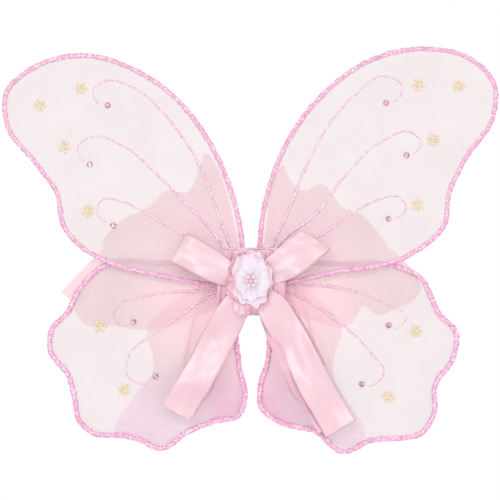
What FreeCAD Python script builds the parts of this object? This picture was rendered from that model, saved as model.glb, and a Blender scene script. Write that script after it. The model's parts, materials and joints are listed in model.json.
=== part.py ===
import FreeCAD, Part
import math
import os
from FreeCAD import Vector, Rotation, Placement

# Fairy wings, in millimetres.  X runs across the wearer's back, Y towards the
# wearer and Z up.  The origin is the middle of the back pad's rear face, and
# every depth is counted from that face, so a piece further from the wearer
# has a more negative Y.

os.makedirs("parts", exist_ok=True)
doc = FreeCAD.newDocument("FairyWings")

SIZES = [
    ("wire_radius", 1.2),
    ("upper_wire_depth", -13.6),
    ("lower_wire_depth", -9.0),
    ("skin_thick", 0.3),
    ("trim_width", 4.4),
    ("upper_trim_thick", 0.8),
    ("lower_trim_thick", 0.6),
    ("vein_width", 1.4),
    ("vein_thick", 0.4),
    ("root_gap", 2.0),
    ("stub_gap", 1.6),
    ("gem_radius", 2.9),
    ("gem_table", 1.7),
    ("gem_height", 2.2),
    ("petal_radius", 1.9),
    ("petal_ring", 3.5),
    ("gold_thick", 1.6),
    ("core_wide", 20.0),
    ("core_tall", 22.0),
    ("core_up", 2.0),
    ("pad_thick", 3.0),
    ("tab_thick", 1.2),
    ("tab_wide", 8.0),
    ("tab_end_radius", 2.5),
    ("tab_end_length", 6.0),
    ("plate_thick", 2.2),
    ("bind_thick", 3.2),
    ("front_foam_thick", 8.0),
    ("patch_wide", 62.0),
    ("patch_tall", 61.0),
    ("patch_corner", 10.0),
    ("patch_thick", 2.0),
    ("knot_wide", 17.0),
    ("knot_tall", 14.0),
    ("knot_thick", 5.0),
    ("backing_radius", 12.0),
    ("backing_thick", 1.0),
    ("under_petal_thick", 3.0),
    ("over_petal_thick", 4.0),
    ("bead_radius", 1.9),
    ("bow_thick", 10.0),
    ("bow_depth", -27.0),
    ("tail_thick", 1.2),
    ("tail_depth", -17.0),
    ("organza_thick", 2.6),
    ("upper_organza_depth", -11.4),
    ("lower_organza_depth", -6.9),
    ("elastic_radius", 1.6),
]
sheet = doc.addObject("Spreadsheet::Sheet", "sizes")
for row, (alias, number) in enumerate(SIZES, start=1):
    sheet.set("A%d" % row, alias)
    sheet.set("B%d" % row, str(number))
    sheet.setAlias("B%d" % row, alias)
doc.recompute()
size = {alias: float(sheet.get(alias)) for alias, number in SIZES}

finished = []


def name_part(item, label):
    item.Label = label
    finished.append(item)
    return item


# ---- smooth outlines made of tangent arcs ---------------------------------

def unit(a, b):
    length = math.hypot(a, b)
    return (a / length, b / length)


def tangents(points):
    out = []
    last = len(points) - 1
    for i in range(len(points)):
        before = points[max(i - 1, 0)]
        after = points[min(i + 1, last)]
        here = points[i]
        if 0 < i < last:
            back = math.dist(before, here)
            ahead = math.dist(here, after)
            dx = (here[0] - before[0]) / back ** 2 + (after[0] - here[0]) / ahead ** 2
            dz = (here[1] - before[1]) / back ** 2 + (after[1] - here[1]) / ahead ** 2
            out.append(unit(dx, dz))
        else:
            out.append(unit(after[0] - before[0], after[1] - before[1]))
    first = out[1]
    chord = out[0]
    turn = 2.0 * (chord[0] * first[0] + chord[1] * first[1])
    out[0] = unit(turn * chord[0] - first[0], turn * chord[1] - first[1])
    first = out[-2]
    chord = out[-1]
    turn = 2.0 * (chord[0] * first[0] + chord[1] * first[1])
    out[-1] = unit(turn * chord[0] - first[0], turn * chord[1] - first[1])
    return out


def smooth(points):
    """Nodes (point, direction) of a run of tangent arcs through the points."""
    way = tangents(points)
    nodes = [(points[0], way[0])]
    for i in range(len(points) - 1):
        p, q = points[i], points[i + 1]
        a, b = way[i], way[i + 1]
        vx, vz = q[0] - p[0], q[1] - p[1]
        along = vx * (a[0] + b[0]) + vz * (a[1] + b[1])
        spread = 2.0 * (1.0 - (a[0] * b[0] + a[1] * b[1]))
        square = vx * vx + vz * vz
        if spread < 1e-9:
            reach = square / (2.0 * along)
        else:
            reach = (math.sqrt(along * along + spread * square) - along) / spread
        one = (p[0] + reach * a[0], p[1] + reach * a[1])
        two = (q[0] - reach * b[0], q[1] - reach * b[1])
        middle = ((one[0] + two[0]) / 2.0, (one[1] + two[1]) / 2.0)
        nodes.append((middle, unit(two[0] - one[0], two[1] - one[1])))
        nodes.append((q, b))
    return nodes


def shift(nodes, side):
    """The same run moved to its left by the given distance."""
    return [((p[0] - side * d[1], p[1] + side * d[0]), d) for p, d in nodes]


def flat(p, depth=0.0):
    return Vector(p[0], depth, p[1])


def arc_edges(nodes, depth=0.0):
    edges = []
    for (p, d), (q, after) in zip(nodes[:-1], nodes[1:]):
        vx, vz = q[0] - p[0], q[1] - p[1]
        chord = math.hypot(vx, vz)
        angle = math.atan2(d[0] * vz - d[1] * vx, d[0] * vx + d[1] * vz)
        if abs(angle) < 1e-4:
            edges.append(Part.LineSegment(flat(p, depth), flat(q, depth)).toShape())
            continue
        reach = chord / 2.0 / math.cos(angle / 2.0)
        way = math.atan2(d[1], d[0]) + angle / 2.0
        top = (p[0] + reach * math.cos(way), p[1] + reach * math.sin(way))
        edges.append(Part.Arc(flat(p, depth), flat(top, depth), flat(q, depth)).toShape())
    return edges


def backwards(nodes):
    return [(p, (-d[0], -d[1])) for p, d in reversed(nodes)]


def line(p, q):
    return Part.LineSegment(flat(p), flat(q)).toShape()


def band_wire(nodes, left, right):
    one = shift(nodes, left)
    two = backwards(shift(nodes, right))
    edges = arc_edges(one) + [line(one[-1][0], two[0][0])]
    edges += arc_edges(two) + [line(two[-1][0], one[0][0])]
    return Part.Wire(edges)


def film_wire(nodes, inset):
    run = shift(nodes, inset)
    return Part.Wire(arc_edges(run) + [line(run[-1][0], run[0][0])])


def polygon_wire(points):
    corners = [flat(p) for p in points]
    return Part.makePolygon(corners + [corners[0]])


def outline(wire, name):
    item = doc.addObject("Part::Feature", name)
    item.Shape = Part.Face(wire)
    return item


def slab(wire, name, depth, thick, offset="0"):
    """A flat piece whose front lies at depth and whose thickness runs towards +Y."""
    base = outline(wire, name + "_outline")
    base.setExpression("Placement.Base.y", "%s + %s" % (depth, offset))
    piece = doc.addObject("Part::Extrusion", name)
    piece.Base = base
    piece.DirMode = "Custom"
    piece.Dir = Vector(0, 1, 0)
    piece.setExpression("LengthFwd", thick)
    piece.Solid = True
    return piece


def group(items, name):
    piece = doc.addObject("Part::Compound", name)
    piece.Links = items
    return piece


# ---- the four wings -------------------------------------------------------
# Each outline runs along the wing's outer edge from one root to the other,
# as (across, up).

WINGS = {
    "upper_left": {
        "inside": 1.0,
        "edge": [(-6, 35), (-17, 85), (-40, 133), (-73, 172), (-104, 192), (-149, 205),
                 (-196, 194), (-222, 170), (-222, 142), (-194, 103), (-176, 77),
                 (-171, 50), (-155, 30), (-133, 17), (-77, 2), (-33, -6)],
        "veins": [
            [(-21, 38), (-31, 64), (-46, 103), (-77, 149), (-108, 175), (-130, 180),
             (-142, 171), (-137, 160)],
            [(-30, 38), (-56, 67), (-85, 96), (-116, 122), (-143, 130), (-156, 119),
             (-151, 108)],
            [(-61, 42), (-85, 56), (-116, 71), (-134, 73), (-138, 61), (-130, 53)],
        ],
        "gems": [(-129, 158), (-145, 105), (-124, 50)],
        "gold": [(-153, 173), (-190, 158), (-168, 121), (-147, 63)],
    },
    "upper_right": {
        "inside": -1.0,
        "edge": [(6, 35), (14, 83), (35, 133), (64, 170), (110, 202), (158, 211),
                 (198, 202), (221, 177), (220, 148), (193, 106), (180, 77),
                 (176, 50), (157, 30), (136, 18), (71, 5), (32, -4)],
        "veins": [
            [(22, 38), (35, 66), (50, 104), (71, 142), (95, 169), (120, 184),
             (136, 174), (128, 161)],
            [(30, 38), (58, 60), (84, 94), (120, 127), (143, 134), (153, 124),
             (146, 115)],
            [(64, 42), (84, 56), (115, 73), (134, 75), (139, 63), (130, 57)],
        ],
        "gems": [(121.5, 160), (140, 113), (124, 56)],
        "gold": [(151, 176), (187, 175.5), (164, 127), (150, 68)],
    },
    "lower_left": {
        "inside": 1.0,
        "edge": [(-34, 18), (-80, 18.5), (-131, 17), (-149, 3), (-158, -9), (-167, -27),
                 (-181, -42), (-183, -63), (-166, -87), (-161, -107), (-157, -126),
                 (-141, -140), (-122, -141), (-104, -144), (-80, -153), (-56, -138),
                 (-34, -129), (-9, -122), (-3, -104), (-8, -79), (-11, -54), (-13, -36)],
        "veins": [
            [(-39, -9), (-67, -10), (-96, -14), (-118, -21), (-124, -33), (-113, -41)],
            [(-39, -15), (-67, -34), (-90, -49), (-110, -67), (-111, -86), (-93, -92)],
        ],
        "gems": [(-106, -37), (-86, -86)],
        "gold": [(-136, -41), (-114, -98)],
    },
    "lower_right": {
        "inside": -1.0,
        "edge": [(34, 18), (80, 18), (133, 15), (156, 3), (164, -13), (171, -28),
                 (186, -44), (184, -71), (168, -95), (167, -120), (153, -140),
                 (134, -144), (111, -145), (83, -156), (56, -137), (27, -130),
                 (7, -114), (6, -95), (13, -71), (14, -50), (13, -36)],
        "veins": [
            [(44, -4), (87, -8), (120, -20), (140, -34), (131, -43)],
            [(41, -13), (74, -33), (105, -61), (119, -85), (106, -95)],
            [(34, -20), (50, -44), (67, -76)],
        ],
        "gems": [(124, -40), (100, -93)],
        "gold": [(148.5, -45), (124, -104)],
    },
}

PETALS = 6


def wire_path(nodes, inside):
    return shift(nodes, inside * size["trim_width"] / 2.0)


def swept(path, depth, name):
    spine = doc.addObject("Part::Feature", name + "_path")
    edges = arc_edges(path)
    spine.Shape = Part.Wire(edges)
    spine.setExpression("Placement.Base.y", depth)
    ring = doc.addObject("Part::Circle", name + "_section")
    ring.setExpression("Radius", "sizes.wire_radius")
    start, way = path[0]
    turn = Rotation(Vector(0, 0, 1), Vector(way[0], 0, way[1]))
    ring.Placement = Placement(flat(start), turn)
    ring.setExpression("Placement.Base.y", depth)
    tube = doc.addObject("Part::Sweep", name)
    tube.Sections = [ring]
    tube.Spine = (spine, ["Edge%d" % (i + 1) for i in range(len(edges))])
    tube.Solid = True
    tube.Frenet = False
    return tube


def stone(place, name, depth):
    gem = doc.addObject("Part::Cone", name)
    gem.setExpression("Radius1", "sizes.gem_radius")
    gem.setExpression("Radius2", "sizes.gem_table")
    gem.setExpression("Height", "sizes.gem_height")
    gem.Placement = Placement(flat(place), Rotation(Vector(0, 0, 1), Vector(0, -1, 0)))
    gem.setExpression("Placement.Base.y", depth)
    return gem


def gold_flower(place, name, depth):
    leaves = []
    spots = [(0.0, 0.0)]
    for k in range(PETALS):
        angle = 2.0 * math.pi * k / PETALS
        ring = size["petal_ring"]
        spots.append((ring * math.cos(angle), ring * math.sin(angle)))
    for k, (dx, dz) in enumerate(spots):
        leaf = doc.addObject("Part::Cylinder", "%s_%d" % (name, k))
        leaf.setExpression("Radius", "sizes.petal_radius")
        leaf.setExpression("Height", "sizes.gold_thick")
        spot = (place[0] + dx, place[1] + dz)
        leaf.Placement = Placement(flat(spot), Rotation(Vector(0, 0, 1), Vector(0, -1, 0)))
        leaf.setExpression("Placement.Base.y", depth)
        leaves.append(leaf)
    flower = doc.addObject("Part::MultiFuse", name)
    flower.Shapes = leaves
    return flower


stubs = []
hinge_lines = {}
for name, wing in WINGS.items():
    upper = name.startswith("upper")
    side = wing["inside"]
    run = smooth(wing["edge"])
    path = wire_path(run, side)
    depth = "sizes.upper_wire_depth" if upper else "sizes.lower_wire_depth"
    name_part(swept(path, depth, "wire_" + name), "wire_" + name)
    if upper:
        film_front = depth + " - sizes.wire_radius - sizes.skin_thick"
        trim_front = film_front + " - sizes.upper_trim_thick"
        trim_thick = "sizes.upper_trim_thick"
        face = film_front
    else:
        film_front = depth + " + sizes.wire_radius"
        trim_front = depth + " - sizes.wire_radius - sizes.lower_trim_thick"
        trim_thick = "sizes.lower_trim_thick"
        face = film_front
    film = film_wire(run, side * size["trim_width"] / 4.0)
    name_part(slab(film, "film_" + name, film_front, "sizes.skin_thick"), "film_" + name)
    edge = band_wire(run, 0.0, side * size["trim_width"])
    name_part(slab(edge, "edging_" + name, trim_front, trim_thick), "edging_" + name)
    half = size["vein_width"] / 2.0
    lines = []
    for k, points in enumerate(wing["veins"]):
        vein = band_wire(smooth(points), half, -half)
        front = face + " - sizes.vein_thick"
        lines.append(slab(vein, "vein_%s_%d" % (name, k), front, "sizes.vein_thick"))
    name_part(group(lines, "veins_" + name), "veins_" + name)
    stones = [stone(p, "gem_%s_%d" % (name, k), face) for k, p in enumerate(wing["gems"])]
    name_part(group(stones, "gems_" + name), "gems_" + name)
    gold = [gold_flower(p, "gold_%s_%d" % (name, k), face)
            for k, p in enumerate(wing["gold"])]
    name_part(group(gold, "gold_flowers_" + name), "gold_flowers_" + name)
    # where the wire bends: just inside each of its two ends
    gap = size["root_gap"]
    (p, d), (q, e) = path[0], path[-1]
    one = (p[0] - gap * d[0], p[1] - gap * d[1])
    two = (q[0] + gap * e[0], q[1] + gap * e[1])
    hinge_lines[name] = (one, two)
    stubs.append((name + "_a", one, (-d[0], -d[1]), depth))
    stubs.append((name + "_b", two, e, depth))
    print("hinge", name, [round(v, 3) for v in one + two])

# ---- the centre: wire ends held on a plate, padding, pad and patch ---------


def disc_wire():
    centre = Vector(0, 0, size["core_up"])
    oval = Part.Ellipse(centre + Vector(0, 0, size["core_tall"]),
                        centre + Vector(size["core_wide"], 0, 0), centre)
    return Part.Wire(oval.toShape())


def oval_slab(name, depth, thick):
    return slab(disc_wire(), name, depth, thick)


STUB_ENDS = {
    "upper_left_a": (-3.5, 12), "upper_left_b": (-9, -2),
    "upper_right_a": (3.5, 12), "upper_right_b": (9, -2),
    "lower_left_a": (-9, 8), "lower_left_b": (-4, -10),
    "lower_right_a": (9, 8), "lower_right_b": (4, -10),
}


def rod(start, end, depth, name):
    way = Vector(end[0] - start[0], 0, end[1] - start[1])
    item = doc.addObject("Part::Cylinder", name)
    item.setExpression("Radius", "sizes.wire_radius")
    item.Height = way.Length
    item.Placement = Placement(flat(start), Rotation(Vector(0, 0, 1), way))
    item.setExpression("Placement.Base.y", depth)
    return item


held = {"upper": [], "lower": []}
for name, start, way, depth in stubs:
    end = STUB_ENDS[name]
    away = unit(end[0] - start[0], end[1] - start[1])
    gap = size["stub_gap"]
    begin = (start[0] + gap * away[0], start[1] + gap * away[1])
    item = rod(begin, end, depth, "wire_end_" + name)
    held[name[:5]].append(item)
upper_ends = name_part(group(held["upper"], "wire_ends_upper"), "wire_ends_upper")
lower_ends = name_part(group(held["lower"], "wire_ends_lower"), "wire_ends_lower")

plate_front = "sizes.upper_wire_depth + sizes.wire_radius"
plate = oval_slab("stiff_plate", plate_front, "sizes.plate_thick")
name_part(plate, "stiff_plate")
front_face = "sizes.upper_wire_depth + sizes.wire_radius - sizes.bind_thick"
back_face = "sizes.lower_wire_depth - sizes.wire_radius"


def binding(name, depth, ends):
    block = oval_slab(name + "_block", depth, "sizes.bind_thick")
    cut = doc.addObject("Part::Cut", name)
    cut.Base = block
    cut.Tool = ends
    return name_part(cut, name)


binding("binding_front", front_face, upper_ends)
binding("binding_back", back_face, lower_ends)
foam_front = front_face + " - sizes.front_foam_thick"
name_part(oval_slab("padding_front", foam_front, "sizes.front_foam_thick"), "padding_front")
back_foam = back_face + " + sizes.bind_thick"
foam_thick = "-sizes.pad_thick - sizes.tab_thick - (%s)" % back_foam
name_part(oval_slab("padding_back", back_foam, foam_thick), "padding_back")
name_part(oval_slab("back_pad", "-sizes.pad_thick", "sizes.pad_thick"), "back_pad")


def rounded_box(wide, tall, corner, up):
    x, z, r = wide / 2.0, tall / 2.0, corner
    lean = r * (1.0 - math.sqrt(0.5))
    stops = []
    for sx, sz in ((1, 1), (-1, 1), (-1, -1), (1, -1)):
        upright = (sx * x, up + sz * (z - r))
        level = (sx * (x - r), up + sz * z)
        bend = (sx * (x - lean), up + sz * (z - lean))
        stops.append((upright, bend, level) if sx * sz > 0 else (level, bend, upright))
    edges = []
    for k, (p, bend, q) in enumerate(stops):
        edges.append(Part.Arc(flat(p), flat(bend), flat(q)).toShape())
        edges.append(line(q, stops[(k + 1) % len(stops)][0]))
    return Part.Wire(edges)


patch_front = foam_front + " - sizes.patch_thick"
patch = rounded_box(size["patch_wide"], size["patch_tall"], size["patch_corner"], -0.5)
name_part(slab(patch, "satin_patch", patch_front, "sizes.patch_thick"), "satin_patch")

knot_front = patch_front + " - sizes.knot_thick"
knot = rounded_box(size["knot_wide"], size["knot_tall"], 4.0, 0.0)
name_part(slab(knot, "bow_knot", knot_front, "sizes.knot_thick"), "bow_knot")

backing_front = knot_front + " - sizes.backing_thick"
round_edge = Part.Wire(Part.Circle(Vector(0, 0, 0), Vector(0, 1, 0),
                                   size["backing_radius"]).toShape())
name_part(slab(round_edge, "flower_backing", backing_front, "sizes.backing_thick"),
          "flower_backing")


def petals_wire(count, reach_wide, reach_tall, waist, turn, up):
    points = []
    for k in range(count):
        for part, reach in ((0.0, 1.0), (0.5, waist)):
            angle = turn + 2.0 * math.pi * (k + part) / count
            points.append((reach * reach_wide * math.cos(angle),
                           up + reach * reach_tall * math.sin(angle)))
    return polygon_wire(points)


under_front = backing_front + " - sizes.under_petal_thick"
under = petals_wire(7, 18.0, 26.5, 0.86, 0.35, 1.0)
name_part(slab(under, "petals_under", under_front, "sizes.under_petal_thick"),
          "petals_under")
over_front = under_front + " - sizes.over_petal_thick"
over = petals_wire(6, 15.0, 23.0, 0.84, 0.1, 1.0)
name_part(slab(over, "petals_over", over_front, "sizes.over_petal_thick"), "petals_over")

beads = []
BEADS = 6
for k in range(BEADS + 1):
    bead = doc.addObject("Part::Sphere", "bead_%d" % k)
    bead.setExpression("Radius", "sizes.bead_radius")
    ring = 0.0 if k == BEADS else 4.0
    angle = 2.0 * math.pi * k / BEADS
    spot = (ring * math.cos(angle), ring * math.sin(angle))
    bead.Placement = Placement(flat(spot), Rotation())
    bead.setExpression("Placement.Base.y", over_front + " - sizes.bead_radius")
    beads.append(bead)
name_part(group(beads, "beads"), "beads")

# ---- the bow in front and the organza behind -------------------------------

FABRIC = {
    "bow_loop_left": ("sizes.bow_depth", "sizes.bow_thick",
                      [(-41, 39), (-56, 43), (-71, 17), (-53, 5), (-41, 1)]),
    "bow_loop_right": ("sizes.bow_depth", "sizes.bow_thick",
                       [(41, 43), (45, 45), (73, 29), (54, 14), (41, 4)]),
    "bow_tail_left": ("sizes.tail_depth", "sizes.tail_thick",
                      [(-40, -38), (-61, -80), (-80, -108), (-54, -126), (-32, -86),
                       (-12, -45), (-11, -38)]),
    "bow_tail_right": ("sizes.tail_depth", "sizes.tail_thick",
                       [(13, -38), (33, -85), (50, -111), (67, -140), (94, -125),
                        (79, -102), (45, -40), (42, -38)]),
    "organza_loop_left": ("sizes.upper_organza_depth", "sizes.organza_thick",
                          [(-15, 40), (-24, 84), (-40, 118), (-46, 102), (-54, 80),
                           (-76, 81), (-92, 66), (-112, 57), (-130, 41), (-138, 28),
                           (-35, 28)]),
    "organza_loop_right": ("sizes.upper_organza_depth", "sizes.organza_thick",
                           [(14, 40), (20, 84), (28, 106), (40, 85), (49, 80), (62, 86),
                            (73, 73), (91, 61), (112, 44), (124, 28), (35, 28)]),
    "organza_end_left": ("sizes.lower_organza_depth", "sizes.organza_thick",
                         [(-38, 12), (-144, 16), (-170, -10), (-152, -36), (-144, -40),
                          (-96, -44), (-40, -28)]),
    "organza_end_right": ("sizes.lower_organza_depth", "sizes.organza_thick",
                          [(38, 12), (136, 12), (147, 3), (150, -6), (147, -15),
                           (128, -23), (114, -31), (101, -22), (91, -34), (83, -40),
                           (40, -28)]),
    "organza_tail_left": ("sizes.lower_organza_depth", "sizes.organza_thick",
                          [(-38, -34), (-94, -50), (-89, -83), (-122, -129),
                           (-112, -139), (-80, -148), (-34, -126), (-10, -116),
                           (-7, -98), (-15, -42)]),
    "organza_tail_right": ("sizes.lower_organza_depth", "sizes.organza_thick",
                           [(38, -34), (82, -46), (73, -84), (84, -104), (107, -138),
                            (84, -150), (56, -132), (28, -125), (11, -110), (10, -95),
                            (17, -42)]),
}
for name, (depth, thick, points) in FABRIC.items():
    name_part(slab(polygon_wire(points), name, depth, thick), name)

# ---- elastic arm loops and the tabs they are sewn into ----------------------

TAB_HEIGHTS = {"top": 12.0, "bottom": -8.0}
TAB_IN = 6.0
TAB_OUT = 23.0
TAB_END = 24.0
for side_name, side in (("left", -1.0), ("right", 1.0)):
    tabs = []
    for place, up in TAB_HEIGHTS.items():
        name = "tab_%s_%s" % (side_name, place)
        strip = doc.addObject("Part::Box", name + "_strip")
        strip.Length = TAB_OUT - TAB_IN
        strip.setExpression("Width", "sizes.tab_thick")
        strip.setExpression("Height", "sizes.tab_wide")
        left = TAB_IN if side > 0 else -TAB_OUT
        strip.Placement = Placement(Vector(left, 0, up - size["tab_wide"] / 2.0), Rotation())
        strip.setExpression("Placement.Base.y", "-sizes.pad_thick - sizes.tab_thick")
        end = doc.addObject("Part::Cylinder", name + "_end")
        end.setExpression("Radius", "sizes.tab_end_radius")
        end.setExpression("Height", "sizes.tab_end_length")
        end.Placement = Placement(Vector(side * TAB_END, 0, up),
                                  Rotation(Vector(0, 0, 1), Vector(0, 1, 0)))
        end.setExpression("Placement.Base.y", "-sizes.tab_end_length")
        both = doc.addObject("Part::MultiFuse", name)
        both.Shapes = [strip, end]
        tabs.append(both)
    name_part(group(tabs, "strap_tabs_" + side_name), "strap_tabs_" + side_name)

# The right arm loop's route, from its upper tab round to its lower one.
LOOP = [(24, 0, 12), (24, 14, 12), (32, 21, 4), (42, 20, -11), (50, 18.5, -30),
        (56, 17.5, -52), (60, 17, -74), (62, 17, -95), (57.5, 17, -106),
        (48, 17, -110), (38.5, 17, -106), (34, 17, -95), (33, 17, -76),
        (33.5, 17.5, -56), (30, 19, -36), (27, 21, -19), (24, 14, -8), (24, 0, -8)]


def rounded_route(points):
    """Straight runs joined by tangent arcs, each as large as its runs allow."""
    spots = [Vector(*p) for p in points]
    edges = []
    radii = []
    last = spots[0]
    for before, here, after in zip(spots[:-2], spots[1:-1], spots[2:]):
        back = before - here
        ahead = after - here
        reach = 0.45 * min(back.Length, ahead.Length)
        half_turn = (math.pi - back.getAngle(ahead)) / 2.0
        radii.append(reach / math.tan(half_turn))
        back.normalize()
        ahead.normalize()
        one = here + back * reach
        two = here + ahead * reach
        bisect = back + ahead
        bisect.normalize()
        gap = radii[-1] / math.cos(half_turn) - radii[-1]
        edges.append(Part.LineSegment(last, one).toShape())
        edges.append(Part.Arc(one, here + bisect * gap, two).toShape())
        last = two
    edges.append(Part.LineSegment(last, spots[-1]).toShape())
    print("arm loop radii", [round(r, 1) for r in radii])
    return Part.Wire(edges)


for side_name, side in (("left", -1.0), ("right", 1.0)):
    name = "arm_loop_" + side_name
    route = rounded_route([(side * p[0], p[1], p[2]) for p in LOOP])
    spine = doc.addObject("Part::Feature", name + "_route")
    spine.Shape = route
    ring = doc.addObject("Part::Circle", name + "_section")
    ring.setExpression("Radius", "sizes.elastic_radius")
    way = Vector(side * (LOOP[1][0] - LOOP[0][0]), LOOP[1][1] - LOOP[0][1],
                 LOOP[1][2] - LOOP[0][2])
    start = Vector(side * LOOP[0][0], LOOP[0][1], LOOP[0][2])
    ring.Placement = Placement(start, Rotation(Vector(0, 0, 1), way))
    tube = doc.addObject("Part::Sweep", name)
    tube.Sections = [ring]
    tube.Spine = (spine, ["Edge%d" % (i + 1) for i in range(len(route.Edges))])
    tube.Solid = True
    tube.Frenet = False
    name_part(tube, name)
    print(name, "length", round(route.Length, 1))

doc.recompute()

for item in doc.Objects:
    if "Invalid" in item.State or "Error" in item.State:
        raise RuntimeError("%s failed: %s" % (item.Name, item.State))
for item in finished:
    if item.Shape.isNull() or not item.Shape.isValid() or not item.Shape.Solids:
        raise RuntimeError("%s has no sound shape" % item.Label)
for item in finished:
    item.Shape.exportStep("parts/%s.step" % item.Label)
print(len(finished), "sub-parts written")
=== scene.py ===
import json
import math
import random

import bmesh
import bpy
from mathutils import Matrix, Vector, noise
from mathutils.geometry import delaunay_2d_cdt


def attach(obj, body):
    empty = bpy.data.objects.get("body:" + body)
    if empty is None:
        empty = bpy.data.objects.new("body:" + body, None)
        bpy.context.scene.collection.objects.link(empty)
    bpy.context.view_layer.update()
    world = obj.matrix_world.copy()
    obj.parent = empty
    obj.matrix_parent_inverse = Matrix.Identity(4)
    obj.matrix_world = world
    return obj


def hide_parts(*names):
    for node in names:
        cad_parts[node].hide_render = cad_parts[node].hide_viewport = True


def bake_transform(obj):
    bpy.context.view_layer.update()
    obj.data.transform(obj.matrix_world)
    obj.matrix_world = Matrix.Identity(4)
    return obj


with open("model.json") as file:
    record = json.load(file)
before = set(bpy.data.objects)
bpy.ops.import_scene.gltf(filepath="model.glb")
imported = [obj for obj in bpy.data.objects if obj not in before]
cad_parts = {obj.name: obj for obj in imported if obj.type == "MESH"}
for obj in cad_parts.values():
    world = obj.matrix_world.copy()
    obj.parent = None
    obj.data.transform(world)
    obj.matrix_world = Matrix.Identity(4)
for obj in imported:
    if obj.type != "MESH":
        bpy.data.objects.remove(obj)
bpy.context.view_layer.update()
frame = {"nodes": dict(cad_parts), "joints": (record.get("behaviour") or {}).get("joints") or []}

MM = 0.001
scene = bpy.context.scene
scene.view_settings.view_transform = "Standard"

# ---------------------------------------------------------------- camera, light, floor

SENSOR = 36.0               # in mm, and the rest of these in metres
CAMERA_BACK = 4.0
WING_PLANE = 0.0136         # how far in front of the origin the upper wings' wires lie
VIEW_WIDE = 0.450           # what the picture takes in across at that plane
VIEW_X, VIEW_Z = -0.0009, 0.0279        # the middle of the picture
FLOOR_RADIUS = 0.88
FLOOR_HEIGHT = -0.25

cam_data = bpy.data.cameras.new("camera")
cam_data.sensor_width = SENSOR
cam_data.lens = SENSOR * (CAMERA_BACK - WING_PLANE) / VIEW_WIDE
cam_data.clip_end = 50.0
cam = bpy.data.objects.new("camera", cam_data)
scene.collection.objects.link(cam)
cam.location = (VIEW_X, -CAMERA_BACK, VIEW_Z)
cam.rotation_euler = (math.pi / 2, 0.0, 0.0)
scene.camera = cam


def white_world():
    """White surroundings, dimmer on the first camera's side than behind the object."""
    world = bpy.data.worlds.new("studio")
    world.use_nodes = True
    sky = world.node_tree
    where = sky.nodes.new("ShaderNodeTexCoord").outputs["Generated"]
    split = sky.nodes.new("ShaderNodeSeparateXYZ")
    sky.links.new(where, split.inputs[0])
    rise = sky.nodes.new("ShaderNodeMapRange")
    rise.interpolation_type = "SMOOTHSTEP"
    for socket, number in (("From Min", -0.55), ("From Max", 0.75), ("To Min", 0.77),
                           ("To Max", 1.0)):
        rise.inputs[socket].default_value = number
    sky.links.new(split.outputs["Y"], rise.inputs["Value"])
    sky.links.new(rise.outputs["Result"], sky.nodes["Background"].inputs["Strength"])
    sky.nodes["Background"].inputs["Color"].default_value = (1.0, 1.0, 1.0, 1.0)
    return world


scene.world = white_world()


def softbox(name, place, width, height, power):
    """A rectangular lamp that faces the origin."""
    data = bpy.data.lights.new(name, "AREA")
    data.shape = "RECTANGLE"
    data.size = width
    data.size_y = height
    data.energy = power
    lamp = bpy.data.objects.new(name, data)
    scene.collection.objects.link(lamp)
    lamp.location = place
    lamp.rotation_euler = (-Vector(place)).to_track_quat("-Z", "Y").to_euler()


softbox("key", (-0.75, -1.9, 1.25), width=0.6, height=0.6, power=10.0)
softbox("side", (1.2, -1.5, 0.6), width=0.4, height=1.0, power=5.0)
softbox("front", (-0.42, -2.3, -0.02), width=0.34, height=0.34, power=7.5)
softbox("rear", (0.6, 1.6, 1.2), width=0.8, height=0.8, power=6.0)


def round_floor():
    bm = bmesh.new()
    bmesh.ops.create_circle(bm, cap_ends=True, segments=96, radius=FLOOR_RADIUS)
    mesh = bpy.data.meshes.new("floor")
    bm.to_mesh(mesh)
    bm.free()
    made = bpy.data.objects.new("floor", mesh)
    scene.collection.objects.link(made)
    made.location = (0, 0, FLOOR_HEIGHT)
    return made


floor = round_floor()

# ---------------------------------------------------------------- materials


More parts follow.
